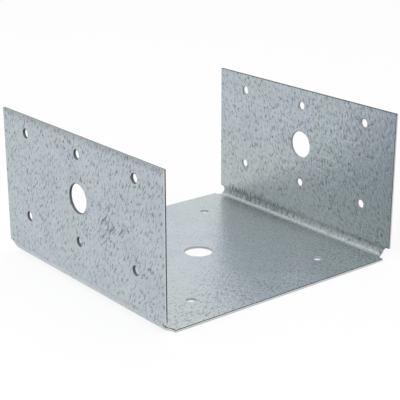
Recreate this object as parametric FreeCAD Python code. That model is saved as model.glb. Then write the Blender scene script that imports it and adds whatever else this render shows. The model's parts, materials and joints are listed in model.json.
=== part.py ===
"""Timber post base: one galvanised steel sheet, punched and folded up on two sides.

The base plate lies flat, with its underside on Z = 0 and its centre on the Z axis. The two
flanges stand up at -X and +X, and a timber post stands between them. Y runs along the bends.
"""
import FreeCAD, Part
import math
import os

# ---- Driving dimensions, in millimetres ----
POST_WIDTH = 139.7  # clear width between the flanges: a dressed 6x6 post
DEPTH = 132.5  # length of the sheet along the bends
HEIGHT = 75.5  # underside of the base to the top edge of a flange
SHEET = 1.3  # thickness of the sheet
BEND_RADIUS = 4.5  # inside radius of both bends

NAIL_HOLE = 4.4  # diameter of every nail hole
BOLT_HOLE = 14.3  # diameter of the cross-bolt hole in each flange
ANCHOR_HOLE = 14.3  # diameter of the anchor-bolt hole in the base

COLUMN_MARGIN = 21.0  # outer nail columns, from the front or back edge of the sheet
TOP_ROW_MARGIN = 9.0  # upper nail row, from the top edge of the flange
LOW_ROW_HEIGHT = 23.9  # lower nail row, from the underside of the base
SEAT_NAIL_INSET = 29.35  # nail holes of the base, from the inner face of the nearer flange

RELIEF_DEPTH = 3.8  # how far a bend-end relief reaches in from the edge of the sheet
RELIEF_LAND = 0.4  # curved length left between a relief and each end of its bend
RELIEF_CORNER = 2.6  # radius of the two inner corners of a relief

# ---- Places worked out from them ----
HALF_WIDTH = POST_WIDTH / 2
HALF_DEPTH = DEPTH / 2
OUTER_RADIUS = BEND_RADIUS + SHEET
MID_RADIUS = BEND_RADIUS + SHEET / 2
BEND_HEIGHT = SHEET + BEND_RADIUS  # height of the bend's centre
BEND_REACH = HALF_WIDTH - BEND_RADIUS  # the bend's centre, from the middle of the base
COLUMN_Y = HALF_DEPTH - COLUMN_MARGIN
TOP_ROW_Z = HEIGHT - TOP_ROW_MARGIN
BOLT_Z = (TOP_ROW_Z + LOW_ROW_HEIGHT) / 2
SEAT_NAIL_X = HALF_WIDTH - SEAT_NAIL_INSET

X_AXIS = FreeCAD.Vector(1, 0, 0)
Y_AXIS = FreeCAD.Vector(0, 1, 0)
Z_AXIS = FreeCAD.Vector(0, 0, 1)
SIDES = (-1, 1)
OVERCUT = 0.2  # how far a notch's cutter passes the faces of the sheet


def on_bend(side, radius, angle, y):
    """A point on a bend; the angle runs from 0 at the base to 90 at the flange."""
    turn = math.radians(angle)
    x = side * (BEND_REACH + radius * math.sin(turn))
    z = BEND_HEIGHT - radius * math.cos(turn)
    return FreeCAD.Vector(x, y, z)


def flange_point(side, offset, z, y):
    """A point on a flange, offset outwards from its inner face."""
    return FreeCAD.Vector(side * (HALF_WIDTH + offset), y, z)


def half_section(side, y):
    """Edges of one half of the folded section, from the middle of the seat round to the underside."""
    seat = on_bend(side, BEND_RADIUS, 0, y)
    inner_top = on_bend(side, BEND_RADIUS, 90, y)
    outer_top = on_bend(side, OUTER_RADIUS, 90, y)
    underside = on_bend(side, OUTER_RADIUS, 0, y)
    inner_edge = flange_point(side, 0, HEIGHT, y)
    outer_edge = flange_point(side, SHEET, HEIGHT, y)
    return [
        Part.makeLine(FreeCAD.Vector(0, y, SHEET), seat),
        Part.Arc(seat, on_bend(side, BEND_RADIUS, 45, y), inner_top).toShape(),
        Part.makeLine(inner_top, inner_edge),
        Part.makeLine(inner_edge, outer_edge),
        Part.makeLine(outer_edge, outer_top),
        Part.Arc(outer_top, on_bend(side, OUTER_RADIUS, 45, y), underside).toShape(),
        Part.makeLine(underside, FreeCAD.Vector(0, y, 0)),
    ]


def folded_sheet():
    """The folded sheet before punching: its section, drawn at the front and run to the back."""
    edges = half_section(-1, -HALF_DEPTH) + half_section(1, -HALF_DEPTH)
    wire = Part.Wire(Part.__sortEdges__(edges))
    return Part.Face(wire).extrude(Y_AXIS * DEPTH)


def base_hole(diameter, x, y):
    """A punch that goes down through the base."""
    start = FreeCAD.Vector(x, y, -SHEET)
    return Part.makeCylinder(diameter / 2, 3 * SHEET, start, Z_AXIS)


def flange_hole(side, diameter, y, z):
    """A punch that goes out through one flange."""
    start = flange_point(side, -SHEET, z, y)
    return Part.makeCylinder(diameter / 2, 3 * SHEET, start, X_AXIS * side)


def base_holes():
    """The anchor-bolt hole in the middle, and a nail hole towards each corner."""
    punches = [base_hole(ANCHOR_HOLE, 0, 0)]
    for x in (-SEAT_NAIL_X, SEAT_NAIL_X):
        for y in (-COLUMN_Y, COLUMN_Y):
            punches.append(base_hole(NAIL_HOLE, x, y))
    return punches


def flange_holes(side):
    """The cross-bolt hole in the middle, between two rows of three nail holes."""
    punches = [flange_hole(side, BOLT_HOLE, 0, BOLT_Z)]
    for y in (-COLUMN_Y, 0, COLUMN_Y):
        for z in (LOW_ROW_HEIGHT, TOP_ROW_Z):
            punches.append(flange_hole(side, NAIL_HOLE, y, z))
    return punches


def bend_relief(side, end):
    """The rounded notch at one end of a bend, with walls square to the sheet."""
    land_angle = math.degrees(RELIEF_LAND / MID_RADIUS)
    angles = (land_angle, 45, 90 - land_angle)
    near = BEND_RADIUS - OVERCUT
    y = end * (HALF_DEPTH + OVERCUT)
    inner = [on_bend(side, near, angle, y) for angle in angles]
    outer = [on_bend(side, OUTER_RADIUS + OVERCUT, angle, y) for angle in angles]
    wire = Part.Wire([
        Part.Arc(*inner).toShape(),
        Part.makeLine(inner[-1], outer[-1]),
        Part.Arc(*reversed(outer)).toShape(),
        Part.makeLine(outer[0], inner[0]),
    ])
    notch = Part.Face(wire).extrude(Y_AXIS * -end * (OVERCUT + RELIEF_DEPTH))
    room = 0.95 * min(near * math.sin(math.radians(45 - land_angle)), RELIEF_DEPTH)
    depth_y = end * (HALF_DEPTH - RELIEF_DEPTH)
    corners = [edge for edge in notch.Edges if is_inner_corner(edge, depth_y)]
    return notch.makeFillet(min(RELIEF_CORNER, room), corners)


def is_inner_corner(edge, depth_y):
    """True for the two straight edges at the inner end of a relief."""
    straight = edge.Curve.TypeId == "Part::GeomLine"
    return straight and all(abs(vertex.Y - depth_y) < 1e-6 for vertex in edge.Vertexes)


def post_base():
    """The finished part."""
    cuts = base_holes()
    for side in SIDES:
        cuts += flange_holes(side)
        cuts += [bend_relief(side, end) for end in SIDES]
    return folded_sheet().cut(cuts).removeSplitter()


os.makedirs("parts", exist_ok=True)
body = post_base()
body.exportStep("parts/post_base.step")
print("post_base: valid", body.isValid(), "solids", len(body.Solids), "volume", round(body.Volume, 1))
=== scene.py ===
"""Timber post base: one galvanised steel sheet, punched flat and folded up on two sides.

Laid out as an add-on and run as a script. Lengths are in metres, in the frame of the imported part:
X runs from the left flange to the right one, Y along the bends from front to back, and Z up.
"""

import bmesh
import bpy
import json
import math
from bpy.props import FloatProperty, FloatVectorProperty, PointerProperty
from bpy.types import Operator, Panel, PropertyGroup
from mathutils import Matrix, Vector


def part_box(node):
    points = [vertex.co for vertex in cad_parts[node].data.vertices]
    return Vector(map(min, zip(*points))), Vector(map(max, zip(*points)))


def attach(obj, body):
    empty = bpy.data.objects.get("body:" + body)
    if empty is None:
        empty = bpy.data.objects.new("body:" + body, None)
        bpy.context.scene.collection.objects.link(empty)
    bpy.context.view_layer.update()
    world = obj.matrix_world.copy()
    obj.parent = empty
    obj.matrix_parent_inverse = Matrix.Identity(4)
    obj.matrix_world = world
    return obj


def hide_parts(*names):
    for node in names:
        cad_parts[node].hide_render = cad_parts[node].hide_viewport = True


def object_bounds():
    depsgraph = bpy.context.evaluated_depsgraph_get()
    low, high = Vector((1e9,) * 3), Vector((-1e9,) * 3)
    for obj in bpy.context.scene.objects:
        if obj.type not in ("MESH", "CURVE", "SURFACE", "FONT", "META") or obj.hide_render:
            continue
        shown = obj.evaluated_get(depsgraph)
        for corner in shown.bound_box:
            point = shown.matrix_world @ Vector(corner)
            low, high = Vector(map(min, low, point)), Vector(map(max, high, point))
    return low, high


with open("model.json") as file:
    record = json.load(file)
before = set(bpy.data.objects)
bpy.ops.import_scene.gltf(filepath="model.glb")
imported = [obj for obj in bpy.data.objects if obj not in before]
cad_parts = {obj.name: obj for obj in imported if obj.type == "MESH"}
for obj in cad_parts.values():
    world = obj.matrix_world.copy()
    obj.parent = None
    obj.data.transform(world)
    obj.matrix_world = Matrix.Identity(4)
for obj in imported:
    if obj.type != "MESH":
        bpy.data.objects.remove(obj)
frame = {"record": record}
CAD_LOW, CAD_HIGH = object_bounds()

bl_info = {
    "name": "Timber Post Base",
    "version": (1, 0, 0),
    "blender": (4, 5, 0),
    "location": "3D View > Sidebar > Post Base",
    "description": "Builds a folded galvanised steel post base, its zinc finish and a plain studio",
    "category": "Object",
}

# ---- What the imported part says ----
NODE = "post_base"
BODY = "root"

NODE_LOW, NODE_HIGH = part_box(NODE)
MOUNTS = {mount["name"]: mount for mount in frame["record"]["mounts"]}
MM = 0.001


def mount_length(name, size):
    """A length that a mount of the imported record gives, in metres."""
    return MOUNTS[name]["dims"][size] * MM


# ---- Names ----
PIECE_NAME = "post_base_sheet"
FLAT_MAP = "flat_sheet"  # UV map: the place of each point on the flat sheet, in metres
RIM_DEPTH = "rim_depth"  # attribute: 0 on the outer face of the sheet, 1 on the inner face
RIM_LINE = "rim_line"  # attribute: 1 along every edge and hole, falling to 0 across the edge strip; it carries the painted rim shade

# ---- How the sheet is punched and meshed ----
SIDES = (-1, 1)  # left and right, front and back, or lower and upper
PUNCH_LENGTH = 20.0 * MM
BEND_STEPS = 18
NAIL_SIDES = 48
BOLT_SIDES = 96
NOTCH_STEPS = 10
RIM_STEPS = 3
RIM_ROUNDING = 0.16 * MM
RIM_BAND = 0.45 * MM  # even strip kept along every edge and hole
BEND_BAND = 0.6 * MM  # even strip kept on the flat, beside each bend
SHARP_ANGLE = math.radians(60)  # an edge that turns by more than this is rounded
BROAD_NORMAL = 0.9  # height of a face's normal, from which it belongs to a broad face of the sheet
FLAT_NORMAL = 0.995  # the same, from which it is zinc and not part of a rounded rim
SAME_PLACE = 1e-6  # points of the mesh closer than this are one point
ON_LINE = 1e-7  # points of the mesh closer than this to a line across the sheet lie on it

# ---- Surface of the metal ----
METALLIC = 0.9  # the rest is the thin chalky film that zinc grows
ZINC_RELIEF = 1.0
ZINC_RELIEF_DEPTH = 0.09 * MM
CUT_RELIEF = 0.2
CUT_RELIEF_DEPTH = 0.05 * MM

# From here to the studio, lengths are millimetres on the flat sheet. A step, rise or fall is soft,
# and is given as where it starts and where it ends. How dark a mark is goes from 0 to 1.

MIDDLE_STEP = (0.4, 0.6)  # share of the thickness, from the outer face to the inner one

# ---- Streaks, pits and clouds ----
STREAK_SLANT = math.radians(25)
STREAK_SCALE = (0.36, 0.92, 1.0)
STREAK_STEP = (0.52, 0.82)
CROWDING_SCALE = 0.11  # the streaks crowd together in some places
CROWDING_SHARE = 0.16
DENSITY_SHARE = 0.1
PIT_SLANT = math.radians(28)
PIT_SCALE = (0.42, 0.62, 1.0)
PIT_SPREAD = 0.62  # difference between the smallest pit and the largest, in cells
PIT_SKIPPED = 0.26  # taken off every pit, so that the smaller ones vanish
PIT_STEP = (-0.05, 0.16)
CLOUDS = (
    # output, scale, detail and roughness of its noise
    ("Patches", 0.06, 2.0, 0.5),
    ("Tint", 0.025, 2.0, 0.5),
    ("Mottle", 0.42, 2.0, 0.6),
    ("Grain", 2.6, 1.0, 0.5),
)

# ---- Colour and strength over the zinc ----
COOL_STEP = (0.35, 0.65)
GREEN_STEP = (0.48, 0.66)
WORN_RISE = (-55.0, -10.0)  # past the start of a bend, on its inside
WORN_FALL = (20.0, 60.0)
UPRIGHT_STEP = (-15.0, 33.0)  # past the start of a bend
FRONT_STEP = (-12.0, -55.0)  # from the middle of the depth
FRONT_SHARE = 0.9
BASE_SHARE = 0.35  # what is left of the streaks and pits in the middle and back of the base
GRAIN_SHARE = 0.4
SPECKLE_DARK = 0.6
SPECKLE_ROUGH = 0.3
DARK_ROUGH = 0.15
RIPPLE_HEIGHT = 2.2
DARK_HEIGHT = 0.5

# ---- Marks of the press along the bends, and painted shade on the bends ----
# inside each bend: a duller coating, together with painted shade that keeps the bend's reflected bright
# line narrow
DULL_AND_SHADE_RISE = (2.2, 4.2)  # past the start of a bend, on its inside
DULL_AND_SHADE_FALL = (-1.5, 1.0)  # past the end of the bend
DULL_AND_SHADE_DARK = 0.47
SCORED_RISE = (3.2, 4.8)  # past the start of a bend, on its inside
SCORED_FALL = (0.5, 3.0)  # past the end of the bend
SCORED_FRONT = (-15.0, 36.0)  # from the middle of the depth
SCORED_BACK = (-12.25, -6.25)  # from the back end of the sheet
SCORED_DARK = 0.9
SCORED_LEAST = 0.08  # what is left of the scoring in front
STROKE_SCALE = (0.22, 1.3, 1.0)
STROKE_STEP = (0.42, 0.62)
# painted shade on the outside of each bend, low down where it turns towards the floor
OUTER_BEND_SHADE_RISE = (-1.5, 0.0)  # past the start of a bend, on its outside
OUTER_BEND_SHADE_FALL = (3.8, 5.4)
OUTER_BEND_SHADE_DARK = 0.65

# ---- Painted shade along rims and round holes, top edges and scratches ----
ZONE_TOP = (-3.0, -4.0)  # from the top edge: the start of the zone in which only holes have rims
ZONE_END = (-0.7, -1.7)  # the same, from the inner end of a notch
# painted shade: a dark ring round each hole, strongest on the outer face, and a fainter darker line along
# every rim
OUTER_HOLE_SHADE = 0.9
HOLE_SHADE = 0.1
RIM_DARK = 0.12
TOP_BAND = (-4.0, -0.8)  # from the top edge
TOP_BAND_DARK = 0.28
SCRATCH_BELOW = 8.0  # under the left flange's bolt hole
SCRATCH_IN_FRONT = 27.0
SCRATCH_REACH = (15.0, 7.0)
SCRATCH_SLANT = math.radians(42)
SCRATCH_SCALE = (0.13, 0.85, 1.0)
SCRATCH_STEP = (0.55, 0.64)

# ---- Cut edges ----
LEFT_STEP = (0.4, -2.6)  # across, from the end of the left bend
BASE_STEP = (-3.4, -5.4)  # past the start of a bend
RAGGED_SHARE = 0.3
TORN_STEP = (0.70, 0.84)  # share of the thickness, from the outer face
LEFT_WIDER = 0.28  # the torn band is wider on the left flange
# painted contact shadow along the lower part of the base's cut edges
CONTACT_SHADOW_STEP = (0.2, 0.06)  # share of the thickness, from the outer face
CONTACT_SHADOW_DARK = 0.8
TOP_EDGE = (-0.4, -0.1)  # from the top edge
TOP_EDGE_DARK = 0.97
LEFT_TOP_PALER = 0.45
HOLE_WALL_DARK = 0.6
HOLE_WALL_STEP = 0.3  # hole walls are this much paler in the base, and darker in the left flange
TORN_ROUGH = 0.2

# ---- Studio, in metres ----
SENSOR_WIDTH = 36.0  # millimetres
NEAREST_SEEN = 0.01
FLOOR_GAP = 0.1 * MM  # between the underside and the floor
FLOOR_LIFT = 0.85  # how much of the floor is lifted to white where it is seen straight
TOP_LAMP = ((0.0, 0.1, 1.2), 1.6)  # place and side of the square lamp
LEFT_LAMP = ((-1.1, -0.25, 0.62), 1.1)
BACK_LAMP = ((0.45, 0.75, 0.75), 0.7)


# ======================================================================================
# Sizes, colours and studio settings
# ======================================================================================


def length_setting(name, description, default):
    """A length that a user can change."""
    return FloatProperty(
        name=name, description=description, default=default, min=0.0, unit="LENGTH", precision=5
    )


def amount_setting(name, description, default, top=1.0):
    """A plain amount that a user can change."""
    return FloatProperty(name=name, description=description, default=default, min=0.0, max=top)


def colour_setting(name, description, default):
    """A colour that a user can change."""
    return FloatVectorProperty(
        name=name, description=description, default=default, min=0.0, max=1.0, size=3, subtype="COLOR"
    )


def power_setting(name, description, default):
    """A lamp's power, in watts."""
    return FloatProperty(name=name, description=description, default=default, min=0.0, unit="POWER")


def angle_setting(name, description, default):
    """An angle that a user can change."""
    return FloatProperty(name=name, description=description, default=default, unit="ROTATION")


class PostBaseSizes(PropertyGroup):
    """Sizes of the folded sheet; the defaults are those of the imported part."""

    width: length_setting(
        "Overall width", "Outside of one flange to outside of the other", NODE_HIGH.x - NODE_LOW.x
    )
    depth: length_setting("Depth", "Length of the sheet along its bends", NODE_HIGH.y - NODE_LOW.y)
    height: length_setting(
        "Height", "Underside of the base to the top edge of a flange", NODE_HIGH.z - NODE_LOW.z
    )
    sheet: length_setting(
        "Sheet thickness", "Thickness of the steel", mount_length("anchor_bolt", "length_mm")
    )
    bend_radius: length_setting("Bend radius", "Inside radius of both bends", 4.5 * MM)
    nail_hole: length_setting(
        "Nail hole", "Diameter of every nail hole", 2 * mount_length("base_nails", "hole_r_mm")
    )
    bolt_hole: length_setting(
        "Bolt hole", "Diameter of the cross-bolt holes", 2 * mount_length("cross_bolt", "r_mm")
    )
    anchor_hole: length_setting(
        "Anchor hole", "Diameter of the anchor-bolt hole", 2 * mount_length("anchor_bolt", "r_mm")
    )
    column_spacing: length_setting(
        "Column spacing",
        "Front nail column to back nail column",
        mount_length("right_corner_nails", "spacing_x_mm"),
    )
    row_spacing: length_setting(
        "Row spacing",
        "Lower nail row to upper nail row of a flange",
        mount_length("right_corner_nails", "spacing_y_mm"),
    )
    bolt_height: length_setting(
        "Bolt height", "Underside of the base to the cross bolt", MOUNTS["cross_bolt"]["pos_m"][2]
    )
    seat_spacing: length_setting(
        "Base nail spacing",
        "Left to right spacing of the base's nail holes",
        mount_length("base_nails", "spacing_x_mm"),
    )
    relief_depth: length_setting(
        "Relief depth", "How far a bend-end notch reaches in from the edge", 3.8 * MM
    )
    relief_land: length_setting(
        "Relief land", "Curved length left between a notch and each end of its bend", 0.4 * MM
    )
    relief_corner: length_setting("Relief corner", "Radius of a notch's inner corners", 2.6 * MM)


class PostBaseFinish(PropertyGroup):
    """Colours and surface of the zinc and of the cut edges."""

    zinc: colour_setting("Zinc", "Main colour of the galvanised face", (0.485, 0.54, 0.58))
    zinc_dark: colour_setting("Zinc streaks", "Colour of the streaks and pits", (0.13, 0.155, 0.16))
    zinc_cool: colour_setting("Cool patches", "Colour of the cooler patches", (0.455, 0.50, 0.55))
    zinc_worn: colour_setting("Worn zinc", "Greyer colour inside, beside the bends", (0.482, 0.53, 0.538))
    zinc_green: colour_setting("Green patches", "Colour of the faintly green patches", (0.465, 0.53, 0.55))
    cut_bright: colour_setting("Sheared band", "Smooth part of a cut edge", (0.56, 0.58, 0.59))
    cut_dark: colour_setting("Torn band", "Rough part of a cut edge", (0.055, 0.06, 0.06))
    roughness: amount_setting("Roughness", "Roughness of the zinc face", 0.27)
    streak_strength: amount_setting("Streaks", "How strongly the streaks and pits show", 0.90)


class PostBaseStudio(PropertyGroup):
    """Camera and light."""

    azimuth: angle_setting("Azimuth", "Turn of the camera to the left of the front", math.radians(38.64))
    elevation: angle_setting("Elevation", "Height of the camera as an angle", math.radians(19.13))
    roll: angle_setting("Roll", "Tilt of the camera about its own axis", math.radians(-0.11))
    distance: length_setting("Distance", "Camera to the point it looks at", 566.4 * MM)
    lens: FloatProperty(name="Lens", description="Focal length, millimetres", default=101.7, min=1.0)
    aim: FloatVectorProperty(
        name="Aim",
        description="Point the camera looks at, from the middle of the part",
        default=(-1.05 * MM, -2.63 * MM, -7.80 * MM),
        size=3,
        subtype="TRANSLATION",
        unit="LENGTH",
    )
    floor_size: length_setting("Floor size", "Side of the square floor", 6.0)
    floor: colour_setting("Floor", "Colour of the floor and of what surrounds it", (0.80, 0.80, 0.80))
    top_power: power_setting("Top lamp", "Power of the soft lamp overhead", 6.0)
    left_power: power_setting("Left lamp", "Power of the soft lamp on the left", 7.2)
    back_power: power_setting("Back lamp", "Power of the faint lamp behind", 0.2)
    sky: amount_setting("Surround light", "Light from the pale room on the part", 0.80, 2.0)


# ======================================================================================
# Punching and folding the sheet
# ======================================================================================


def bend_centre_height(sizes):
    """Height of a bend's centre above the underside."""
    return sizes.sheet + sizes.bend_radius


def bend_start(sizes):
    """Distance from the middle of the base to the start of a bend."""
    return sizes.width / 2 - sizes.sheet - sizes.bend_radius


def bend_length(sizes):
    """Length of flat sheet that a bend takes up, measured at mid thickness."""
    return (sizes.bend_radius + sizes.sheet / 2) * math.pi / 2


def flange_length(sizes):
    """Length of a flange that stays flat."""
    return sizes.height - bend_centre_height(sizes)


def flat_half(sizes):
    """Half the length of the flat sheet."""
    return bend_start(sizes) + bend_length(sizes) + flange_length(sizes)


def flat_place(sizes, height):
    """Distance from the middle of the flat sheet to a given height on a flange."""
    return bend_start(sizes) + bend_length(sizes) + height - bend_centre_height(sizes)


def bend_lines(sizes):
    """Distances from the middle at which the flat sheet gets a line across it."""
    start = bend_start(sizes)
    run = bend_length(sizes)
    inside = [start + run * step / BEND_STEPS for step in range(BEND_STEPS + 1)]
    return [start - BEND_BAND] + inside + [start + run + BEND_BAND]


def flat_plate(sizes):
    """The flat plate, with its underside on Z = 0 and a line across it wherever it will bend."""
    plate = bmesh.new()
    bmesh.ops.create_cube(plate, size=1.0)
    bmesh.ops.scale(plate, verts=plate.verts, vec=(2 * flat_half(sizes), sizes.depth, sizes.sheet))
    bmesh.ops.translate(plate, verts=plate.verts, vec=(0, 0, sizes.sheet / 2))
    for side in SIDES:
        for distance in bend_lines(sizes):
            everything = plate.verts[:] + plate.edges[:] + plate.faces[:]
            bmesh.ops.bisect_plane(
                plate, geom=everything, dist=ON_LINE, plane_co=(side * distance, 0, 0), plane_no=(1, 0, 0)
            )
    return plate


def add_punch(punches, diameter, x, y, sides):
    """A round punch at one place on the flat sheet."""
    bmesh.ops.create_cone(
        punches,
        cap_ends=True,
        segments=sides,
        radius1=diameter / 2,
        radius2=diameter / 2,
        depth=PUNCH_LENGTH,
        matrix=Matrix.Translation((x, y, 0)),
    )


def add_notch_punch(punches, sizes, side, end):
    """A punch with two round corners for the notch at one end of a bend."""
    width = bend_length(sizes) - 2 * sizes.relief_land
    reach = 2 * sizes.relief_depth
    made = bmesh.ops.create_cube(punches, size=1.0)["verts"]
    bmesh.ops.scale(punches, verts=made, vec=(width, reach, PUNCH_LENGTH))
    middle = side * (bend_start(sizes) + bend_length(sizes) / 2)
    bmesh.ops.translate(punches, verts=made, vec=(middle, end * sizes.depth / 2, 0))
    inner_y = end * (sizes.depth / 2 - sizes.relief_depth)
    upright = [
        edge
        for edge in {edge for vert in made for edge in vert.link_edges}
        if all(abs(vert.co.y - inner_y) < SAME_PLACE for vert in edge.verts)
        and abs(edge.verts[0].co.z - edge.verts[1].co.z) > PUNCH_LENGTH / 2
    ]
    upright.sort(key=lambda edge: edge.verts[0].co.x)
    bmesh.ops.bevel(
        punches,
        geom=upright,
        offset=sizes.relief_corner,
        segments=NOTCH_STEPS,
        profile=0.5,
        affect="EDGES",
        material=-1,
    )


def add_flange_punches(punches, sizes, side):
    """The cross-bolt hole and the two rows of nail holes of one flange."""
    add_punch(punches, sizes.bolt_hole, side * flat_place(sizes, sizes.bolt_height), 0, BOLT_SIDES)
    for row in SIDES:
        x = side * flat_place(sizes, sizes.bolt_height + row * sizes.row_spacing / 2)
        for column in (-1, 0, 1):
            add_punch(punches, sizes.nail_hole, x, column * sizes.column_spacing / 2, NAIL_SIDES)


def punch_set(sizes):
    """Every punch that goes through the flat sheet."""
    punches = bmesh.new()
    add_punch(punches, sizes.anchor_hole, 0, 0, BOLT_SIDES)
    for side in SIDES:
        for end in SIDES:
            x = side * sizes.seat_spacing / 2
            add_punch(punches, sizes.nail_hole, x, end * sizes.column_spacing / 2, NAIL_SIDES)
            add_notch_punch(punches, sizes, side, end)
        add_flange_punches(punches, sizes, side)
    return punches


def as_object(bm, name):
    """A new object that holds a bmesh."""
    mesh = bpy.data.meshes.new(name)
    bm.to_mesh(mesh)
    bm.free()
    made = bpy.data.objects.new(name, mesh)
    bpy.context.scene.collection.objects.link(made)
    return made


def punched(plate, punches):
    """The plate with the punches cut out of it, as a bmesh."""
    work = as_object(plate, "plate_work")
    tool = as_object(punches, "punch_work")
    cut = work.modifiers.new("punch", "BOOLEAN")
    cut.operation = "DIFFERENCE"
    cut.solver = "EXACT"
    cut.object = tool
    graph = bpy.context.evaluated_depsgraph_get()
    mesh = bpy.data.meshes.new_from_object(work.evaluated_get(graph))
    sheet = bmesh.new()
    sheet.from_mesh(mesh)
    for done in (work, tool):
        used = done.data
        bpy.data.objects.remove(done)
        bpy.data.meshes.remove(used)
    bpy.data.meshes.remove(mesh)
    return sheet


def keep_edge_strips(sheet):
    """Runs an even strip of faces along every edge and hole, on both faces of the sheet."""
    for way in SIDES:
        broad = [face for face in sheet.faces if face.normal.z * way > BROAD_NORMAL]
        bmesh.ops.inset_region(
            sheet,
            faces=broad,
            thickness=RIM_BAND,
            depth=0.0,
            use_boundary=True,
            use_even_offset=True,
        )


def mark_cut_faces(sheet):
    """Gives the rounded rims, and the faces that run through the thickness, the second material."""
    for face in sheet.faces:
        face.material_index = 0 if abs(face.normal.z) > FLAT_NORMAL else 1


def round_rims(sheet):
    """Takes the sharpness off every edge of the sheet."""
    sharp = [edge for edge in sheet.edges if edge.calc_face_angle(0.0) > SHARP_ANGLE]
    bmesh.ops.bevel(
        sheet,
        geom=sharp,
        offset=RIM_ROUNDING,
        segments=RIM_STEPS,
        profile=0.5,
        affect="EDGES",
        material=-1,
        clamp_overlap=True,
    )


def write_flat_places(sheet, sizes):
    """Keeps each point's place on the flat sheet, so that the finish follows the folds."""
    flat = sheet.loops.layers.uv.new(FLAT_MAP)
    depth = sheet.verts.layers.float.new(RIM_DEPTH)
    line = sheet.verts.layers.float.new(RIM_LINE)
    for vert in sheet.verts:
        vert[depth] = vert.co.z / sizes.sheet
        vert[line] = float(any(face.material_index == 1 for face in vert.link_faces))
        for loop in vert.link_loops:
            loop[flat].uv = vert.co.xy


def fold_up(sheet, sizes, side):
    """Folds one flange up: each line of the bend turns by its own share of the quarter turn."""
    start = bend_start(sizes)
    run = bend_length(sizes)
    lines = {}
    for vert in sheet.verts:
        reach = side * vert.co.x - start
        if reach > 0:
            share = min(reach / run, 1.0)
            lines.setdefault(round(share, 6), []).append(vert)
    centre = (side * start, 0, bend_centre_height(sizes))
    for share, verts in lines.items():
        turn = Matrix.Rotation(-side * share * math.pi / 2, 3, "Y")
        bmesh.ops.translate(sheet, verts=verts, vec=(-side * share * run, 0, 0))
        bmesh.ops.rotate(sheet, verts=verts, cent=centre, matrix=turn)


def folded_sheet(sizes):
    """The finished sheet as an object, punched, folded and with its rims rounded."""
    sheet = punched(flat_plate(sizes), punch_set(sizes))
    bmesh.ops.remove_doubles(sheet, verts=sheet.verts, dist=SAME_PLACE)
    sheet.normal_update()
    keep_edge_strips(sheet)
    round_rims(sheet)
    sheet.normal_update()
    mark_cut_faces(sheet)
    write_flat_places(sheet, sizes)
    for side in SIDES:
        fold_up(sheet, sizes, side)
    bmesh.ops.recalc_face_normals(sheet, faces=sheet.faces)
    if not all(edge.is_manifold for edge in sheet.edges):
        raise RuntimeError("The sheet is not closed: these sizes leave no room for its holes")
    for face in sheet.faces:
        face.smooth = True
    return as_object(sheet, PIECE_NAME)


# ======================================================================================
# Node helpers
# ======================================================================================


def add_node(tree, kind, inputs=None, **settings):
    """A new node, with its settings and the values of its inputs; an input may be another socket."""
    node = tree.nodes.new(kind)
    for name, value in settings.items():
        setattr(node, name, value)
    for name, value in (inputs or {}).items():
        if isinstance(value, bpy.types.NodeSocket):
            tree.links.new(value, node.inputs[name])
        else:
            node.inputs[name].default_value = value
    return node


def maths(tree, operation, first, second=0.0, clamp=False):
    """The result of a Math node."""
    node = add_node(tree, "ShaderNodeMath", {0: first, 1: second}, operation=operation, use_clamp=clamp)
    return node.outputs[0]


def times(tree, first, second):
    """The product of two values."""
    return maths(tree, "MULTIPLY", first, second)


def plus(tree, first, second, clamp=False):
    """The sum of two values."""
    return maths(tree, "ADD", first, second, clamp)


def less(tree, first, second):
    """The first value less the second."""
    return maths(tree, "SUBTRACT", first, second)


def larger(tree, first, second):
    """The larger of two values."""
    return maths(tree, "MAXIMUM", first, second)


def around_zero(tree, value, spread):
    """A noise value, moved from around a half to around zero and then spread."""
    return times(tree, less(tree, value, 0.5), spread)


def step_mask(tree, value, low, high):
    """A mask that goes smoothly from 0 at low to 1 at high, which may be the smaller of the two."""
    node = add_node(
        tree,
        "ShaderNodeMapRange",
        {"Value": value, "From Min": low, "From Max": high},
        interpolation_type="SMOOTHSTEP",
    )
    return node.outputs["Result"]


def band_mask(tree, value, rise, fall):
    """A mask that is 1 between two soft steps, each given as where it starts and where it ends."""
    return times(tree, step_mask(tree, value, *rise), step_mask(tree, value, fall[1], fall[0]))


def shifted(step, distance):
    """A soft step, moved by a distance."""
    return (step[0] + distance, step[1] + distance)


def noise(tree, vector, scale, detail=2.0, roughness=0.5):
    """The value of a Noise Texture."""
    node = add_node(
        tree,
        "ShaderNodeTexNoise",
        {"Vector": vector, "Scale": scale, "Detail": detail, "Roughness": roughness},
    )
    return node.outputs["Fac"]


def turned(tree, vector, angle, scale):
    """Coordinates turned in the plane of the sheet and then stretched."""
    spun = add_node(
        tree, "ShaderNodeMapping", {"Vector": vector, "Rotation": (0, 0, angle)}, vector_type="TEXTURE"
    )
    node = add_node(tree, "ShaderNodeMapping", {"Vector": spun.outputs[0], "Scale": scale})
    return node.outputs[0]


def mixed(tree, factor, first, second):
    """A mix of two colours."""
    node = tree.nodes.new("ShaderNodeMix")
    node.data_type = "RGBA"
    tree.links.new(factor, node.inputs[0])
    for socket, colour in ((node.inputs[6], first), (node.inputs[7], second)):
        if isinstance(colour, bpy.types.NodeSocket):
            tree.links.new(colour, socket)
        else:
            socket.default_value = (*colour, 1.0)
    return node.outputs[2]


def mixed_value(tree, factor, first, second):
    """A mix of two values."""
    node = add_node(tree, "ShaderNodeMix", {0: factor, 2: first, 3: second})
    return node.outputs[0]


def new_group(name, inputs, outputs):
    """An empty shader node group with named inputs, each with its kind and default, and value outputs."""
    group = bpy.data.node_groups.new(name, "ShaderNodeTree")
    for socket_name, kind, default in inputs:
        socket = group.interface.new_socket(name=socket_name, in_out="INPUT", socket_type=kind)
        if default is not None:
            socket.default_value = default
    for socket_name in outputs:
        group.interface.new_socket(name=socket_name, in_out="OUTPUT", socket_type="NodeSocketFloat")
    return group


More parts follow.
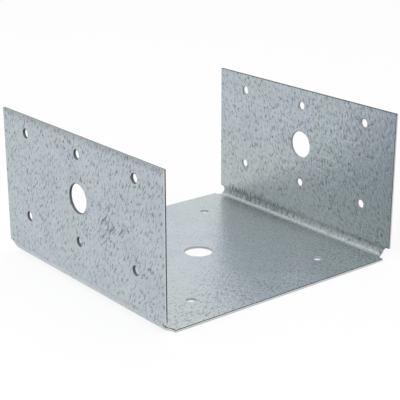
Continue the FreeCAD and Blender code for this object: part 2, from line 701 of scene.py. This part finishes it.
def new_material(name):
    """A material with no nodes in it yet."""
    material = bpy.data.materials.new(name)
    material.use_nodes = True
    material.node_tree.nodes.clear()
    return material


# ======================================================================================
# Patterns of the zinc, with vectors in millimetres on the flat sheet
# ======================================================================================


def pit_mask(tree, vector):
    """Small round pits of many sizes, in some of the cells that cover the sheet."""
    along = turned(tree, vector, PIT_SLANT, PIT_SCALE)
    cells = add_node(tree, "ShaderNodeTexVoronoi", {"Vector": along, "Scale": 1.0})
    chance = add_node(tree, "ShaderNodeSeparateColor", {"Color": cells.outputs["Color"]})
    radius = less(tree, times(tree, chance.outputs[0], PIT_SPREAD), PIT_SKIPPED)
    inside = less(tree, radius, cells.outputs["Distance"])
    return step_mask(tree, inside, *PIT_STEP)


def streak_group():
    """Short slanted streaks, the small pits, and the ripple that the streaks lie in."""
    group = new_group(
        "Zinc Streaks",
        [("Vector", "NodeSocketVector", None), ("Density", "NodeSocketFloat", 0.5)],
        ["Streaks", "Pits", "Ripple"],
    )
    entry = group.nodes.new("NodeGroupInput")
    leave = group.nodes.new("NodeGroupOutput")
    vector = entry.outputs["Vector"]
    ragged = noise(group, turned(group, vector, STREAK_SLANT, STREAK_SCALE), 1.0, 2.5, 0.55)
    crowding = around_zero(group, noise(group, vector, CROWDING_SCALE, 1.0, 0.5), CROWDING_SHARE)
    density = times(group, entry.outputs["Density"], DENSITY_SHARE)
    level = plus(group, plus(group, ragged, crowding), density)
    group.links.new(step_mask(group, level, *STREAK_STEP), leave.inputs["Streaks"])
    group.links.new(pit_mask(group, vector), leave.inputs["Pits"])
    group.links.new(less(group, 0.5, ragged), leave.inputs["Ripple"])
    return group


def cloud_group():
    """Soft clouds of four sizes, from broad patches down to grain."""
    group = new_group("Zinc Clouds", [("Vector", "NodeSocketVector", None)], [name for name, *_ in CLOUDS])
    entry = group.nodes.new("NodeGroupInput")
    leave = group.nodes.new("NodeGroupOutput")
    for name, scale, detail, roughness in CLOUDS:
        cloud = noise(group, entry.outputs["Vector"], scale, detail, roughness)
        group.links.new(cloud, leave.inputs[name])
    return group


# ======================================================================================
# The finish
# ======================================================================================


def sheet_places(tree):
    """Where a point lies on the flat sheet, in millimetres, and how deep in its thickness."""
    flat = add_node(tree, "ShaderNodeUVMap", uv_map=FLAT_MAP)
    in_mm = (1 / MM, 1 / MM, 1 / MM)
    vector = add_node(tree, "ShaderNodeMapping", {"Vector": flat.outputs["UV"], "Scale": in_mm}).outputs[0]
    place = add_node(tree, "ShaderNodeSeparateXYZ", {"Vector": vector})
    depth = add_node(tree, "ShaderNodeAttribute", attribute_name=RIM_DEPTH).outputs["Fac"]
    return {
        "vector": vector,
        "across": place.outputs["X"],  # negative on the left
        "reach": maths(tree, "ABSOLUTE", place.outputs["X"]),  # from the middle, to either side
        "along": place.outputs["Y"],  # negative in front
        "depth": depth,
    }


def on_inner_face(tree, places):
    """1 on the inner face of the sheet, and 0 on the outer one."""
    return step_mask(tree, places["depth"], *MIDDLE_STEP)


def on_outer_face(tree, places):
    """1 on the outer face of the sheet, and 0 on the inner one."""
    return less(tree, 1.0, on_inner_face(tree, places))


def hole_zone(tree, places, sizes):
    """1 where only holes have rims: well inside the outline of the flat sheet and its notches."""
    top = flat_half(sizes) / MM
    notch = (sizes.depth / 2 - sizes.relief_depth) / MM
    off_top = step_mask(tree, places["reach"], *shifted(ZONE_TOP, top))
    off_ends = step_mask(tree, maths(tree, "ABSOLUTE", places["along"]), *shifted(ZONE_END, notch))
    return times(tree, off_top, off_ends)


def press_marks_and_bend_shade(tree, places, sizes):
    """Darkening of the bends: inside, a duller coating with painted shade beside the bend's bright line,
    and press scoring towards the back; outside, painted shade where the bend turns under.
    """
    start = bend_start(sizes) / MM
    end = start + bend_length(sizes) / MM
    back = sizes.depth / 2 / MM
    reach = places["reach"]
    # a duller coating and painted shade on the bend beyond its bright reflected line
    dull_and_shade = band_mask(tree, reach, shifted(DULL_AND_SHADE_RISE, start), shifted(DULL_AND_SHADE_FALL, end))
    scored = band_mask(tree, reach, shifted(SCORED_RISE, start), shifted(SCORED_FALL, end))
    strokes = add_node(tree, "ShaderNodeMapping", {"Vector": places["vector"], "Scale": STROKE_SCALE})
    strokes = step_mask(tree, noise(tree, strokes.outputs[0], 1.0, 2.0, 0.6), *STROKE_STEP)
    towards_back = band_mask(tree, places["along"], SCORED_FRONT, shifted(SCORED_BACK, back))
    strength = plus(tree, times(tree, towards_back, SCORED_DARK), SCORED_LEAST)
    scored = times(tree, times(tree, scored, strokes), strength)
    inside = plus(tree, times(tree, dull_and_shade, DULL_AND_SHADE_DARK), scored)
    inside = times(tree, inside, on_inner_face(tree, places))
    # painted shade on the outside of each bend, where it turns under towards the floor
    outer_bend_shade = band_mask(tree, reach, shifted(OUTER_BEND_SHADE_RISE, start), shifted(OUTER_BEND_SHADE_FALL, start))
    outer_bend_shade = times(tree, outer_bend_shade, on_outer_face(tree, places))
    return plus(tree, inside, times(tree, outer_bend_shade, OUTER_BEND_SHADE_DARK), clamp=True)


def rim_shade_and_top_band(tree, places, sizes):
    """Painted shade along the rims, most of all round the outer face's holes, and a soft darker band under
    the top edges.
    """
    outer = on_outer_face(tree, places)
    rim = add_node(tree, "ShaderNodeAttribute", attribute_name=RIM_LINE).outputs["Fac"]
    # painted shade round the holes, strongest on the outer face, and along every rim
    round_holes = plus(tree, times(tree, outer, OUTER_HOLE_SHADE), HOLE_SHADE)
    round_holes = times(tree, hole_zone(tree, places, sizes), round_holes)
    rim = times(tree, rim, plus(tree, round_holes, RIM_DARK))
    band = step_mask(tree, places["reach"], *shifted(TOP_BAND, flat_half(sizes) / MM))
    band = times(tree, times(tree, band, outer), TOP_BAND_DARK)
    return plus(tree, rim, band, clamp=True)


def scratch_marks(tree, places, sizes):
    """A few longer slanting scratches on the outside of the left flange, in front of its bolt hole."""
    across = SCRATCH_BELOW - flat_place(sizes, sizes.bolt_height) / MM
    centre = (across, -SCRATCH_IN_FRONT, 0.0)
    away = add_node(tree, "ShaderNodeVectorMath", {0: places["vector"], 1: centre}, operation="DISTANCE")
    near = step_mask(tree, away.outputs["Value"], *SCRATCH_REACH)
    slanted = turned(tree, places["vector"], SCRATCH_SLANT, SCRATCH_SCALE)
    lines = step_mask(tree, noise(tree, slanted, 1.0, 2.0, 0.6), *SCRATCH_STEP)
    return times(tree, times(tree, near, lines), on_outer_face(tree, places))


def zinc_ground(tree, finish, places, sizes, clouds):
    """Colour of the clean zinc: cool patches, faintly green ones, and a greyer zone inside the bends."""
    start = bend_start(sizes) / MM
    cool = step_mask(tree, clouds.outputs["Patches"], *COOL_STEP)
    ground = mixed(tree, cool, finish.zinc, finish.zinc_cool)
    green = step_mask(tree, clouds.outputs["Tint"], *GREEN_STEP)
    ground = mixed(tree, green, ground, finish.zinc_green)
    worn = band_mask(tree, places["reach"], shifted(WORN_RISE, start), shifted(WORN_FALL, start))
    worn = times(tree, worn, on_inner_face(tree, places))
    return mixed(tree, worn, ground, finish.zinc_worn)


def texture_amount(tree, places, sizes):
    """How strong the streaks and pits are: weakest in the middle and back of the base."""
    start = bend_start(sizes) / MM
    upright = step_mask(tree, places["reach"], *shifted(UPRIGHT_STEP, start))
    front = times(tree, step_mask(tree, places["along"], *FRONT_STEP), FRONT_SHARE)
    return plus(tree, times(tree, larger(tree, upright, front), 1.0 - BASE_SHARE), BASE_SHARE)


def finish_material(tree, colour, roughness, height, relief, relief_depth):
    """Ends a metal material: one shader, with its relief."""
    bump = add_node(tree, "ShaderNodeBump", {"Strength": relief, "Distance": relief_depth})
    tree.links.new(height, bump.inputs["Height"])
    shader = add_node(tree, "ShaderNodeBsdfPrincipled", {"Metallic": METALLIC})
    tree.links.new(colour, shader.inputs["Base Color"])
    tree.links.new(roughness, shader.inputs["Roughness"])
    tree.links.new(bump.outputs["Normal"], shader.inputs["Normal"])
    leave = tree.nodes.new("ShaderNodeOutputMaterial")
    tree.links.new(shader.outputs["BSDF"], leave.inputs["Surface"])


def zinc_material(finish, sizes, groups):
    """The galvanised face: pale zinc with clouds, streaks, pits, scratches and the marks of the press, and
    painted shade on the bends, along the rims and round the holes.
    """
    material = new_material("galvanised_zinc")
    tree = material.node_tree
    places = sheet_places(tree)
    clouds = add_node(tree, "ShaderNodeGroup", {"Vector": places["vector"]}, node_tree=groups["clouds"])
    streaks = add_node(tree, "ShaderNodeGroup", {"Vector": places["vector"]}, node_tree=groups["streaks"])
    amount = texture_amount(tree, places, sizes)
    mottle = around_zero(tree, clouds.outputs["Mottle"], 1.0)
    speckle = plus(tree, mottle, around_zero(tree, clouds.outputs["Grain"], GRAIN_SHARE))
    dark = larger(tree, streaks.outputs["Streaks"], streaks.outputs["Pits"])
    dark = larger(tree, dark, scratch_marks(tree, places, sizes))
    dark = plus(tree, dark, times(tree, speckle, SPECKLE_DARK))
    dark = times(tree, times(tree, dark, amount), finish.streak_strength)
    dark = plus(tree, dark, press_marks_and_bend_shade(tree, places, sizes))
    dark = plus(tree, dark, rim_shade_and_top_band(tree, places, sizes), clamp=True)
    colour = mixed(tree, dark, zinc_ground(tree, finish, places, sizes, clouds), finish.zinc_dark)
    rough = plus(tree, times(tree, speckle, SPECKLE_ROUGH), finish.roughness)
    rough = plus(tree, rough, times(tree, dark, DARK_ROUGH))
    height = plus(tree, times(tree, streaks.outputs["Ripple"], RIPPLE_HEIGHT), mottle)
    height = times(tree, less(tree, height, times(tree, dark, DARK_HEIGHT)), amount)
    finish_material(tree, colour, rough, height, ZINC_RELIEF, ZINC_RELIEF_DEPTH)
    return material


def torn_and_shadow_share(tree, places, sizes, clouds):
    """How dark a cut edge is: a ragged torn band, a painted contact shadow along the lower part of the
    base's edges, the top edges and the walls of the holes.
    """
    start = bend_start(sizes) / MM
    end = start + bend_length(sizes) / MM
    left = step_mask(tree, places["across"], *shifted(LEFT_STEP, -end))
    base = step_mask(tree, places["reach"], *shifted(BASE_STEP, start))
    ragged = plus(tree, places["depth"], around_zero(tree, clouds.outputs["Mottle"], RAGGED_SHARE))
    band = step_mask(tree, plus(tree, ragged, times(tree, left, LEFT_WIDER)), *TORN_STEP)
    # painted contact shadow: the lower part of the base's cut edges is darkened
    underside = times(tree, step_mask(tree, places["depth"], *CONTACT_SHADOW_STEP), base)
    torn = larger(tree, band, times(tree, underside, CONTACT_SHADOW_DARK))
    top = step_mask(tree, places["reach"], *shifted(TOP_EDGE, flat_half(sizes) / MM))
    top = times(tree, top, less(tree, TOP_EDGE_DARK, times(tree, left, LEFT_TOP_PALER)))
    torn = larger(tree, torn, top)
    walls = less(tree, HOLE_WALL_DARK, times(tree, base, HOLE_WALL_STEP))
    walls = plus(tree, walls, times(tree, left, HOLE_WALL_STEP))
    return mixed_value(tree, hole_zone(tree, places, sizes), torn, walls)


def cut_material(finish, sizes, groups):
    """A cut edge: bright where it is sheared, dark where it is torn, and darkened low on the base's edges
    by a painted contact shadow.
    """
    material = new_material("cut_steel")
    tree = material.node_tree
    places = sheet_places(tree)
    clouds = add_node(tree, "ShaderNodeGroup", {"Vector": places["vector"]}, node_tree=groups["clouds"])
    # the torn band, together with the painted contact shadow on the base's edges
    torn = torn_and_shadow_share(tree, places, sizes, clouds)
    colour = mixed(tree, torn, finish.cut_bright, finish.cut_dark)
    rough = plus(tree, times(tree, torn, TORN_ROUGH), finish.roughness)
    finish_material(tree, colour, rough, clouds.outputs["Grain"], CUT_RELIEF, CUT_RELIEF_DEPTH)
    return material


# ======================================================================================
# Studio
# ======================================================================================


def seen_share(tree, straight, mirrored):
    """How much a surface is lifted to white, where it is seen straight and where it is mirrored."""
    path = add_node(tree, "ShaderNodeLightPath")
    indirect = larger(tree, path.outputs["Is Glossy Ray"], path.outputs["Is Transmission Ray"])
    seen = times(tree, path.outputs["Is Camera Ray"], straight)
    return larger(tree, seen, times(tree, indirect, mirrored))


def light_room(scene, studio):
    """A pale room all round: white where it is seen, and a softer light on the part."""
    world = bpy.data.worlds.new("pale_room")
    world.use_nodes = True
    tree = world.node_tree
    tree.nodes.clear()
    lit = add_node(tree, "ShaderNodeBackground", {"Color": (1, 1, 1, 1), "Strength": studio.sky})
    white = add_node(tree, "ShaderNodeBackground", {"Color": (1, 1, 1, 1), "Strength": 1.0})
    choice = add_node(tree, "ShaderNodeMixShader", {0: seen_share(tree, 1.0, 1.0)})
    tree.links.new(lit.outputs[0], choice.inputs[1])
    tree.links.new(white.outputs[0], choice.inputs[2])
    leave = tree.nodes.new("ShaderNodeOutputWorld")
    tree.links.new(choice.outputs[0], leave.inputs["Surface"])
    scene.world = world


def floor_material(studio):
    """A pale matt floor, which is lifted to white where it is seen and keeps the part's shadow."""
    material = new_material("pale_floor")
    tree = material.node_tree
    matt = add_node(tree, "ShaderNodeBsdfDiffuse", {"Color": (*studio.floor, 1.0)})
    glow = add_node(tree, "ShaderNodeEmission", {"Color": (1, 1, 1, 1), "Strength": 1.0})
    choice = add_node(tree, "ShaderNodeMixShader", {0: seen_share(tree, FLOOR_LIFT, 1.0)})
    tree.links.new(matt.outputs[0], choice.inputs[1])
    tree.links.new(glow.outputs[0], choice.inputs[2])
    leave = tree.nodes.new("ShaderNodeOutputMaterial")
    tree.links.new(choice.outputs[0], leave.inputs["Surface"])
    return material


def add_floor(studio):
    """The floor, just under the part."""
    ground = bmesh.new()
    bmesh.ops.create_grid(ground, x_segments=1, y_segments=1, size=studio.floor_size / 2)
    bmesh.ops.translate(ground, verts=ground.verts, vec=(0, 0, CAD_LOW.z - FLOOR_GAP))
    floor = as_object(ground, "floor")
    floor.data.materials.append(floor_material(studio))


def add_soft_lamp(name, lamp_place, power):
    """A large square lamp that faces the middle of the part."""
    place, size = lamp_place
    middle = (CAD_LOW + CAD_HIGH) / 2
    data = bpy.data.lights.new(name, "AREA")
    data.shape = "SQUARE"
    data.size = size
    data.energy = power
    lamp = bpy.data.objects.new(name, data)
    lamp.location = place
    lamp.rotation_euler = (middle - Vector(place)).to_track_quat("-Z", "Y").to_euler()
    bpy.context.scene.collection.objects.link(lamp)


def camera_axes(studio):
    """The camera's right, up and backward directions."""
    across = math.cos(studio.elevation)
    back = Vector((
        -math.sin(studio.azimuth) * across,
        -math.cos(studio.azimuth) * across,
        math.sin(studio.elevation),
    ))
    right = back.cross(Vector((0, 0, -1))).normalized()
    up = back.cross(right)
    tilt = Matrix.Rotation(studio.roll, 3, back)
    return tilt @ right, tilt @ up, back


def add_camera(scene, studio):
    """The camera, aimed a little below the middle of the part."""
    right, up, back = camera_axes(studio)
    data = bpy.data.cameras.new("camera")
    data.lens = studio.lens
    data.sensor_width = SENSOR_WIDTH
    data.clip_start = NEAREST_SEEN
    camera = bpy.data.objects.new("camera", data)
    target = (CAD_LOW + CAD_HIGH) / 2 + Vector(studio.aim)
    turn = Matrix((right, up, back)).transposed().to_4x4()
    camera.matrix_world = Matrix.Translation(target + back * studio.distance) @ turn
    scene.collection.objects.link(camera)
    scene.camera = camera


# ======================================================================================
# Operators and panel
# ======================================================================================


class POSTBASE_OT_sheet(Operator):
    """Punch, fold and finish the galvanised sheet"""

    bl_idname = "post_base.sheet"
    bl_label = "Folded Sheet"

    def execute(self, context):
        sizes = context.scene.post_base_sizes
        finish = context.scene.post_base_finish
        sheet = folded_sheet(sizes)
        groups = {"clouds": cloud_group(), "streaks": streak_group()}
        sheet.data.materials.append(zinc_material(finish, sizes, groups))
        sheet.data.materials.append(cut_material(finish, sizes, groups))
        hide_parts(NODE)
        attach(sheet, BODY)
        return {"FINISHED"}


class POSTBASE_OT_studio(Operator):
    """Add the floor, the soft lamps, the pale room and the camera"""

    bl_idname = "post_base.studio"
    bl_label = "Studio"

    def execute(self, context):
        scene = context.scene
        studio = scene.post_base_studio
        scene.view_settings.view_transform = "Standard"
        light_room(scene, studio)
        add_floor(studio)
        add_soft_lamp("top_lamp", TOP_LAMP, studio.top_power)
        add_soft_lamp("left_lamp", LEFT_LAMP, studio.left_power)
        add_soft_lamp("back_lamp", BACK_LAMP, studio.back_power)
        add_camera(scene, studio)
        return {"FINISHED"}


class POSTBASE_PT_panel(Panel):
    """Buttons and settings of the post base"""

    bl_idname = "POSTBASE_PT_panel"
    bl_label = "Timber Post Base"
    bl_space_type = "VIEW_3D"
    bl_region_type = "UI"
    bl_category = "Post Base"

    def draw(self, context):
        layout = self.layout
        for operator in OPERATORS:
            layout.operator(operator.bl_idname)
        for group in (
            context.scene.post_base_sizes,
            context.scene.post_base_finish,
            context.scene.post_base_studio,
        ):
            box = layout.box()
            for name in group.bl_rna.properties.keys():
                if name not in ("rna_type", "name"):
                    box.prop(group, name)


SETTINGS = (PostBaseSizes, PostBaseFinish, PostBaseStudio)
OPERATORS = (POSTBASE_OT_sheet, POSTBASE_OT_studio)


def register():
    """Makes the settings, operators and panel known to Blender."""
    for item in SETTINGS + OPERATORS + (POSTBASE_PT_panel,):
        bpy.utils.register_class(item)
    bpy.types.Scene.post_base_sizes = PointerProperty(type=PostBaseSizes)
    bpy.types.Scene.post_base_finish = PointerProperty(type=PostBaseFinish)
    bpy.types.Scene.post_base_studio = PointerProperty(type=PostBaseStudio)


def unregister():
    """Takes them away again."""
    del bpy.types.Scene.post_base_studio
    del bpy.types.Scene.post_base_finish
    del bpy.types.Scene.post_base_sizes
    for item in reversed(SETTINGS + OPERATORS + (POSTBASE_PT_panel,)):
        bpy.utils.unregister_class(item)


def main():
    """Builds the whole scene."""
    register()
    bpy.ops.post_base.sheet()
    bpy.ops.post_base.studio()


if __name__ == "__main__":
    main()
